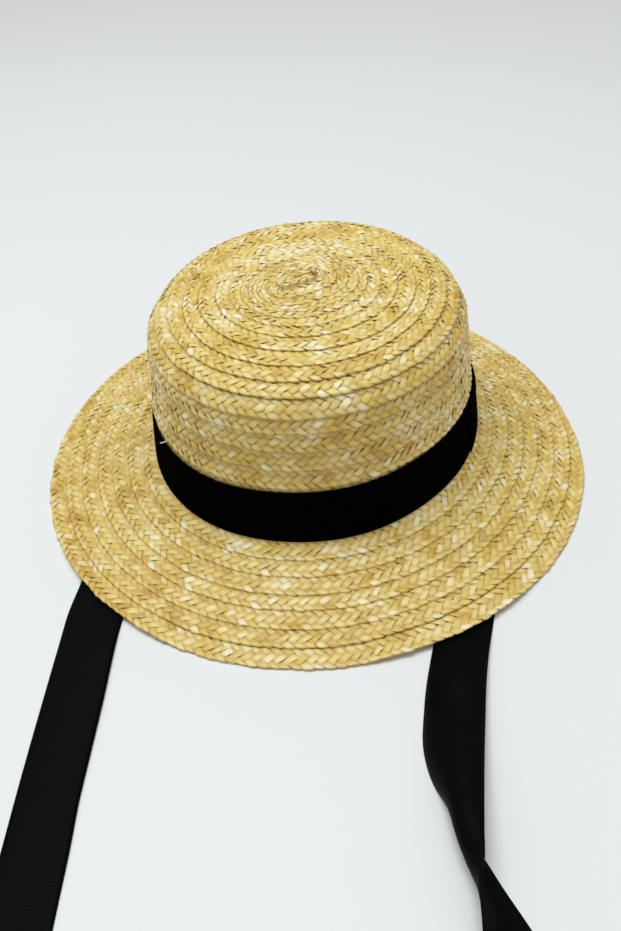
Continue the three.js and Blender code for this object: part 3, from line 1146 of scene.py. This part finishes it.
    def build(self, finish: bpy.types.Material) -> list[bpy.types.Object]:
        """The pieces of plait, dressed and riding on the body.

        Args:
            finish: The straw.

        Returns:
            The pieces, from the top down.
        """
        tree = self.tree()
        made = []
        for stretch in self.stretches:
            bed, first, last = self.bed(stretch)
            modifier = bed.modifiers.new("plait", "NODES")
            modifier.node_group = tree
            samples = int((last - first) * 2 / self.straws * self.steps) + 1
            values = {
                "Low Pitch": bed["low"], "High Pitch": bed["high"], "First Pitch": first, "Last Pitch": last,
                "Crossing Height": self.crossing_height, "Straw Thickness": self.straw_thickness,
                "Coverage": self.coverage, "Pitch Length": self.pitch, "Seed": self.seed,
                "Samples": samples, "Finish": finish,
            }
            for item in tree.interface.items_tree:
                if item.in_out == "INPUT" and item.name in values:
                    modifier[item.identifier] = values[item.name]
            piece = realized(bed, stretch.name)
            self.lay_out_skin(piece.data, samples)
            for name in ("run", "straw", "side", "face_up"):
                piece.data.attributes.remove(piece.data.attributes[name])
            piece.data.shade_smooth()
            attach(piece, BODY)
            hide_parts(stretch.stands_for)
            made.append(piece)
        return made


def realized(holder: bpy.types.Object, name: str) -> bpy.types.Object:
    """What an object's modifiers make, as a plain mesh object. The holder is removed.

    Args:
        holder: The object with the modifiers.
        name: The new object's name.

    Returns:
        The new object, with its faces outward.
    """
    graph = bpy.context.evaluated_depsgraph_get()
    graph.update()
    mesh = bpy.data.meshes.new_from_object(holder.evaluated_get(graph), preserve_all_data_layers=True,
                                           depsgraph=graph)
    bpy.data.objects.remove(holder)
    mesh.name = name
    if signed_volume(mesh) < 0:
        mesh.flip_normals()
    return placed(name, mesh)


def signed_volume(mesh: bpy.types.Mesh) -> float:
    """The volume inside a closed mesh.

    Args:
        mesh: The mesh.

    Returns:
        Its volume, negative if its faces point inwards.
    """
    mesh.calc_loop_triangles()
    points = np.empty(len(mesh.vertices) * 3)
    mesh.vertices.foreach_get("co", points)
    corners = np.empty(len(mesh.loop_triangles) * 3, np.int32)
    mesh.loop_triangles.foreach_get("vertices", corners)
    a, b, c = points.reshape(-1, 3)[corners.reshape(-1, 3)].transpose(1, 0, 2)
    return float(np.einsum("ij,ij->i", a, np.cross(b, c)).sum() / 6)


def grid_faces(rows: int, columns: int) -> Array:
    """The corners of each face on a grid of points that are numbered row by row."""
    index = np.arange(rows * columns).reshape(rows, columns)
    return np.stack([index[:-1, :-1], index[1:, :-1], index[1:, 1:], index[:-1, 1:]], axis=-1).reshape(-1, 4)


def grid_mesh(name: str, grid: Array, u: Array, v: Array, uv_name: str) -> bpy.types.Mesh:
    """An open mesh on a grid of points, with a UV map.

    Args:
        name: The mesh's name.
        grid: The points, by row and column.
        u: The UV's first value for each row.
        v: The UV's second value for each column.
        uv_name: The UV map's name.

    Returns:
        The mesh.
    """
    faces = grid_faces(*grid.shape[:2])
    mesh = bpy.data.meshes.new(name)
    mesh.from_pydata(grid.reshape(-1, 3).tolist(), [], faces.tolist())
    chart = np.stack(np.meshgrid(u, v, indexing="ij"), axis=-1).reshape(-1, 2)
    layer = mesh.uv_layers.new(name=uv_name)
    layer.data.foreach_set("uv", chart[faces.ravel()].ravel())
    return mesh


@dataclass
class Ribbon:
    """Ribbed ribbon of one thickness, laid along rows of points."""

    thickness: float = 0.55 * MM
    rib_pitch: float = 1.1 * MM
    rib_height: float = 0.07 * MM
    steps_per_rib: int = 4
    across: int = 12
    selvedge_share: float = 0.06
    selvedge_smoothing: float = 0.65
    selvedge_thinning: float = 0.45

    def slab(self, name: str, grid: Array, length: float, width: float) -> bpy.types.Object:
        """A closed ribbed sheet on a grid of points along its middle.

        Args:
            name: The piece's name.
            grid: The points, a row for each step along the ribbon, evenly spaced.
            length: The ribbon's length.
            width: The ribbon's width.

        Returns:
            The piece, with its "weave" UV map in metres.
        """
        rows, columns = grid.shape[:2]
        normal = unit(np.cross(np.gradient(grid, axis=0), np.gradient(grid, axis=1)))
        along = np.linspace(0, length, rows)
        rib = self.rib_height * np.cos(FULL_TURN * along / self.rib_pitch)[:, None]
        inner = np.minimum(np.linspace(0, 1, columns), np.linspace(1, 0, columns))
        selvedge = smoothstep(inner / self.selvedge_share)[None, :]
        rib = rib * ((1 - self.selvedge_smoothing) + self.selvedge_smoothing * selvedge)
        thinned = (1 - self.selvedge_thinning) + self.selvedge_thinning * selvedge
        half = (self.thickness / 2 + rib) * thinned
        upper = grid + normal * half[..., None]
        lower = grid - normal * half[..., None]
        index = np.arange(rows * columns).reshape(rows, columns)
        top = grid_faces(rows, columns)
        under = top[:, ::-1] + rows * columns
        rim = np.concatenate([index[:, 0], index[-1, 1:], index[-2::-1, -1], index[0, -2:0:-1]])
        after = np.roll(rim, -1)
        wall = np.stack([after, rim, rim + rows * columns, after + rows * columns], axis=-1)
        faces = np.vstack([top, under, wall])
        mesh = bpy.data.meshes.new(name)
        points = np.vstack([upper.reshape(-1, 3), lower.reshape(-1, 3)])
        mesh.from_pydata(points.tolist(), [], faces.tolist())
        chart = np.stack(np.meshgrid(along, np.linspace(0, width, columns), indexing="ij"), axis=-1)
        chart = np.tile(chart.reshape(-1, 2), (2, 1))
        mesh.uv_layers.new(name="weave").data.foreach_set("uv", chart[faces.ravel()].ravel())
        if signed_volume(mesh) < 0:
            mesh.flip_normals()
        mesh.shade_smooth()
        return placed(name, mesh)

    def steps(self, length: float) -> int:
        """How many rows of points a length of ribbon takes."""
        return int(length / self.rib_pitch * self.steps_per_rib) + 1


@dataclass
class HatBand:
    """The band round the crown, with its cut end lapped over its beginning."""

    form: HatForm
    ribbon: Ribbon
    height: float = 29.5 * MM
    end_degrees: float = -12
    lap_degrees: float = 17
    gap: float = 0.3 * MM
    top_hug: float = 0.7 * MM
    hug_height: float = 5 * MM
    ripple_share: float = 0.6
    ripple: float = 0.12 * MM
    ripple_upwards: float = 9.0
    ripple_slant: float = 0.05
    swell: float = 0.15 * MM
    swell_pace: float = 0.11
    edge_wave: float = 0.25 * MM
    edge_waves: float = 7.0
    measures: int = 3000

    def build(self, finish: bpy.types.Material) -> bpy.types.Object:
        """The band, stretched round the crown's wall.

        Args:
            finish: The ribbon's material.

        Returns:
            The band.
        """
        turn = 360.0 + self.lap_degrees
        rough = np.linspace(0, turn, self.measures)
        line = self.form.wall_point(self.end_degrees + rough, np.zeros_like(rough), np.zeros_like(rough))
        run = run_along(line)
        length = float(run[-1])
        turned = np.interp(np.linspace(0, length, self.ribbon.steps(length)), run, rough)
        over = 1 - smoothstep((turned - self.lap_degrees) / self.lap_degrees)
        off = self.gap + self.ribbon.thickness / 2 + over * (self.ribbon.thickness + self.gap)
        height = np.linspace(0, self.height, self.ribbon.across + 1)
        hug = self.top_hug * smoothstep((height - self.height) / self.hug_height + 1)
        degrees, up = np.meshgrid(self.end_degrees + turned, height, indexing="ij")
        ripple = self.ripple * np.sin(up / self.height * self.ripple_upwards + self.ripple_slant * degrees)
        wave = ripple + self.swell * np.sin(degrees * self.swell_pace)
        grid = self.form.wall_point(degrees, up + self.gap, off[:, None] + wave * self.ripple_share - hug)
        grid[..., 2] += self.edge_wave * np.sin(np.radians(degrees) * self.edge_waves)
        piece = self.ribbon.slab("hat_band_ribbon", grid, length, self.height)
        piece.data.materials.append(finish)
        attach(piece, BODY)
        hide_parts("hat_band")
        return piece


class TieRow(NamedTuple):
    """A row across a tie, in millimetres from the hat's middle: its two edges, and how far it bulges."""

    outer: tuple[float, float, float]
    inner: tuple[float, float, float]
    belly: float = 0


TIE_START = (
    TieRow((83.1, -14, 36), (83.1, 14, 36)),
    TieRow((84, -14, 24), (84, 14, 24)),
    TieRow((83.6, -14, 15), (83.6, 14, 15)),
    TieRow((80, -14, 7), (80, 14, 7)),
    TieRow((76.4, -14, 3.4), (76.4, 14, 3.4)),
    TieRow((76, -14, 1.3), (76, 14, 1.3)),
    TieRow((77.8, -14, 0.5), (77.8, 14, 0.5)),
    TieRow((108, -14, 0.5), (80, 14, 0.5)),
    TieRow((109, -13, 1.5), (81, 15, 1.5)),
    TieRow((108, -14, 2.6), (80, 14, 2.6)),
    TieRow((108, -17, 2.6), (80, -15, 2.6)),
)
TIE_LEFT = (
    TieRow((-107.5, -36, 0.5), (-79.5, -34, 0.5)),
    TieRow((-101, -90, 0.5), (-73, -91, 0.5)),
    TieRow((-98.8, -120, 0.5), (-70.6, -124, 0.5)),
    TieRow((-97.8, -138, 0.5), (-69.6, -140, 0.7), 0.2),
    TieRow((-94.8, -158, 0.5), (-67.6, -155, 1.2), 0.6),
    TieRow((-90.5, -185.7, 0.5), (-63.1, -181.9, 1.2), 0.5),
    TieRow((-86.1, -213.4, 0.5), (-59, -209.4, 1), 0.4),
    TieRow((-82.4, -235.5, 0.5), (-55.8, -231, 0.9), 0.3),
    TieRow((-78.9, -255.5, 0.5), (-52, -250.7, 0.8), 0.2),
    TieRow((-75.3, -277.6, 0.5), (-48.2, -273, 0.6), 0.1),
    TieRow((-72.1, -297, 0.5), (-44.8, -292.5, 0.5)),
)
TIE_RIGHT = (
    TieRow((107.5, -36, 0.5), (79.5, -34, 0.5)),
    TieRow((106.6, -70, 0.5), (78.6, -72, 0.5)),
    TieRow((105.8, -106, 0.5), (78.4, -114, 0.5)),
    TieRow((104.8, -120, 0.9), (78.6, -132, 0.5), 0.3),
    TieRow((103.7, -136, 2.6), (78.1, -143, 0.5), 2),
    TieRow((103.3, -152, 3.8), (77.6, -155, 0.5), 3.2),
    TieRow((103.6, -171, 5.2), (77.8, -169, 0.5), 3.6),
    TieRow((104.1, -192, 8.2), (79.3, -187.5, 0.5), 4.4),
    TieRow((104.7, -210, 11.2), (84.9, -203, 0.5), 5.2),
    TieRow((105.4, -226, 14), (95, -216, 0.5), 6.6),
    TieRow((105.9, -238, 15.4), (106.3, -230.5, 0.5), 6.6),
    TieRow((104.9, -247, 14), (114, -241, 0.5), 4.6),
    TieRow((106.4, -258, 10.5), (121.4, -250.5, 0.5), 3),
    TieRow((108.6, -272, 5), (129, -260.5, 0.5), 1.2),
    TieRow((113.4, -286, 0.6), (136, -270.5, 0.5), 0.2),
)


class Side(Enum):
    """Which side of the hat a tie is sewn to."""

    LEFT = -1
    RIGHT = 1


@dataclass
class Tie:
    """A free length of ribbon from inside the crown, under the brim and out on the surface."""

    form: HatForm
    ribbon: Ribbon
    side: Side
    rows: tuple[TieRow, ...]
    width: float = 28 * MM
    drawn_thickness: float = 1 * MM
    span_steps: int = 40
    row_step: float = 0.02

    def edges(self) -> tuple[Array, Array, Array]:
        """The two edges and the bulge, finely sampled along the whole tie.

        Returns:
            The outer edge, the inner edge and the bulge.
        """
        sign = np.array([self.side.value, 1, 1])
        start = [(np.array(row.outer) * sign, np.array(row.inner) * sign) for row in TIE_START]
        rest = [(np.array(row.outer), np.array(row.inner)) for row in self.rows]
        outer = np.array([row[0] for row in start + rest]) * MM
        inner = np.array([row[1] for row in start + rest]) * MM
        belly = np.array([row.belly for row in (*TIE_START, *self.rows)]) * MM
        table = np.column_stack([np.arange(len(belly)) * self.row_step, belly])
        bulge = smooth_path(table, self.span_steps)[:, 1]
        return smooth_path(outer, self.span_steps), smooth_path(inner, self.span_steps), bulge

    def build(self, finish: bpy.types.Material) -> bpy.types.Object:
        """The tie, laid on the surface.

        Args:
            finish: The ribbon's material.

        Returns:
            The tie.
        """
        outer, inner, belly = self.edges()
        middle = (outer + inner) / 2
        run = run_along(middle)
        length = float(run[-1])
        even = np.linspace(0, length, self.ribbon.steps(length))
        outer, inner = (np.column_stack([np.interp(even, run, edge[:, k]) for k in range(3)])
                        for edge in (outer, inner))
        belly = np.interp(even, run, belly)
        heading = np.gradient(outer, axis=0) + np.gradient(inner, axis=0)
        lift = unit(np.cross(heading, outer - inner)) * self.side.value
        share = np.linspace(0, 1, self.ribbon.across + 1)[None, :, None]
        grid = inner[:, None, :] * (1 - share) + outer[:, None, :] * share
        grid = grid + (lift * belly[:, None])[:, None, :] * 4 * share * (1 - share)
        lowest = self.ribbon.thickness / 2 + self.ribbon.rib_height
        grid[..., 2] = np.maximum(grid[..., 2] - self.drawn_thickness / 2 + lowest, lowest)
        grid = grid + self.form.centre
        name = f"tie_{self.side.name.lower()}"
        piece = self.ribbon.slab(name + "_ribbon", grid, length, self.width)
        piece.data.materials.append(finish)
        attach(piece, BODY)
        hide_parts(name)
        return piece


@dataclass
class TackStitch:
    """The one white stitch over the band's upper edge, at the left."""

    form: HatForm
    band: HatBand
    from_degrees: float = -143
    to_degrees: float = -137
    from_height: float = 25.6 * MM
    to_height: float = 32.8 * MM
    radius: float = 0.3 * MM
    sides: int = 8
    rings: int = 25
    dip: float = 2.5
    dip_power: int = 6

    def build(self, finish: bpy.types.Material) -> bpy.types.Object:
        """The stitch: a short thread that dips into the ribbon at both ends.

        Args:
            finish: The thread's material.

        Returns:
            The stitch.
        """
        along = np.linspace(-1, 1, self.rings)
        share = (along + 1) / 2
        degrees = self.from_degrees + (self.to_degrees - self.from_degrees) * share
        rise = self.from_height + (self.to_height - self.from_height) * share
        raised = self.radius * (1 - self.dip * along**self.dip_power)
        off = self.band.gap + self.band.ribbon.thickness + raised
        middle = self.form.wall_point(degrees, rise, off)
        heading = unit(np.gradient(middle, axis=0))
        outward = unit(self.form.wall_point(degrees, rise, off + self.radius) - middle)
        up = unit(np.cross(heading, outward))
        turn = np.linspace(0, FULL_TURN, self.sides, endpoint=False)
        ring = outward[:, None] * np.cos(turn)[None, :, None] + up[:, None] * np.sin(turn)[None, :, None]
        points = middle[:, None] + ring * self.radius
        index = np.arange(points.shape[0] * self.sides).reshape(-1, self.sides)
        after = np.roll(index, -1, axis=1)
        faces = np.stack([index[:-1], after[:-1], after[1:], index[1:]], axis=-1).reshape(-1, 4).tolist()
        faces += [index[0][::-1].tolist(), index[-1].tolist()]
        mesh = bpy.data.meshes.new("tack_stitch")
        mesh.from_pydata(points.reshape(-1, 3).tolist(), [], faces)
        if signed_volume(mesh) < 0:
            mesh.flip_normals()
        mesh.shade_smooth()
        mesh.materials.append(finish)
        piece = placed("tack_stitch", mesh)
        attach(piece, BODY)
        return piece


@dataclass
class Studio:
    """The pale surface, the soft light and the camera."""

    form: HatForm
    floor_half: float = 8.0
    lamp_from_hat: tuple[float, float, float] = (-0.22, -0.03, 1.6)
    lamp_size: tuple[float, float] = (1.3, 0.7)
    lamp_power: float = 18.0
    lamp_colour: Colour = (0.97, 0.99, 1.0)
    room_colour: Colour = (1.0, 0.965, 0.885)
    room_strength: float = 0.50
    floor_finish: MattFinish = MattFinish(
        "pale surface", colour=(0.775, 0.81, 0.845), roughness=0.6, grain=4.0, variation=0.02
    )
    camera_from_hat: tuple[float, float, float] = (96.0 * MM, -407.7 * MM, 352.7 * MM)
    camera_roll: float = math.radians(4.46)
    lens: float = 36.73
    sensor: float = 36.0
    nearest: float = 0.01
    shift: tuple[float, float] = (-0.0071, -0.0214)

    def build_stage(self) -> None:
        """The flat surface, wide enough to fill the picture from any side."""
        half = np.array([-self.floor_half, self.floor_half])
        flat = np.stack(np.meshgrid(half, half, [0.0], indexing="ij"), axis=-1)[:, :, 0] + self.form.centre
        mesh = grid_mesh("floor", flat, half, half, "surface")
        mesh.materials.append(self.floor_finish.build())
        floor = placed("floor", mesh)

    def build_lights(self) -> None:
        """A soft bright room and one large lamp overhead, which points straight down."""
        world = bpy.data.worlds.new("soft room")
        world.use_nodes = True
        background = world.node_tree.nodes["Background"]
        background.inputs["Color"].default_value = (*self.room_colour, 1.0)
        background.inputs["Strength"].default_value = self.room_strength
        bpy.context.scene.world = world
        data = bpy.data.lights.new("overhead lamp", "AREA")
        data.shape = "RECTANGLE"
        data.size, data.size_y = self.lamp_size
        data.energy = self.lamp_power
        data.color = self.lamp_colour
        lamp = placed("overhead lamp", data)
        lamp.location = Vector(self.form.centre) + Vector(self.lamp_from_hat)

    def build_camera(self) -> None:
        """The camera at the photograph's angle."""
        data = bpy.data.cameras.new("camera")
        data.lens = self.lens
        data.sensor_width = self.sensor
        data.shift_x, data.shift_y = self.shift
        data.clip_start = self.nearest
        camera = placed("camera", data)
        target = Vector(self.form.centre)
        place = target + Vector(self.camera_from_hat)
        turn = (target - place).to_track_quat("-Z", "Y").to_matrix().to_4x4()
        camera.matrix_world = Matrix.Translation(place) @ turn @ Matrix.Rotation(-self.camera_roll, 4, "Z")
        bpy.context.scene.camera = camera

    def build(self) -> None:
        """All of the studio."""
        self.build_stage()
        self.build_lights()
        self.build_camera()
        bpy.context.scene.view_settings.view_transform = "Standard"


def report(pieces: Sequence[bpy.types.Object]) -> None:
    """Logs each piece with its number of triangles.

    Args:
        pieces: The pieces.
    """
    for piece in pieces:
        piece.data.calc_loop_triangles()
        LOG.info("%s: %d triangles", piece.name, len(piece.data.loop_triangles))


def write_sizes() -> None:
    """Brings the view layer up to date."""
    bpy.context.view_layer.update()


def main() -> None:
    """Builds the hat piece by piece, then the studio."""
    logging.basicConfig(level=logging.INFO, format="%(name)s: %(message)s")
    streaks = streak_group()
    straw = Straw().build(streaks)
    grosgrain = Grosgrain().build(streaks)
    dull = Grosgrain("dull black grosgrain", colour=(0.0002, 0.0003, 0.0003), roughness=0.8, gloss=0.005)
    dull_grosgrain = dull.build(streaks)
    thread = MattFinish().build()
    form = HatForm()
    ribbon = Ribbon()
    band = HatBand(form, ribbon)
    report(SewnPlait(form).build(straw))
    report([band.build(dull_grosgrain)])
    for side, rows in ((Side.LEFT, TIE_LEFT), (Side.RIGHT, TIE_RIGHT)):
        report([Tie(form, ribbon, side, rows).build(grosgrain)])
    report([TackStitch(form, band).build(thread)])
    Studio(form).build()
    write_sizes()


if __name__ == "__main__":
    main()
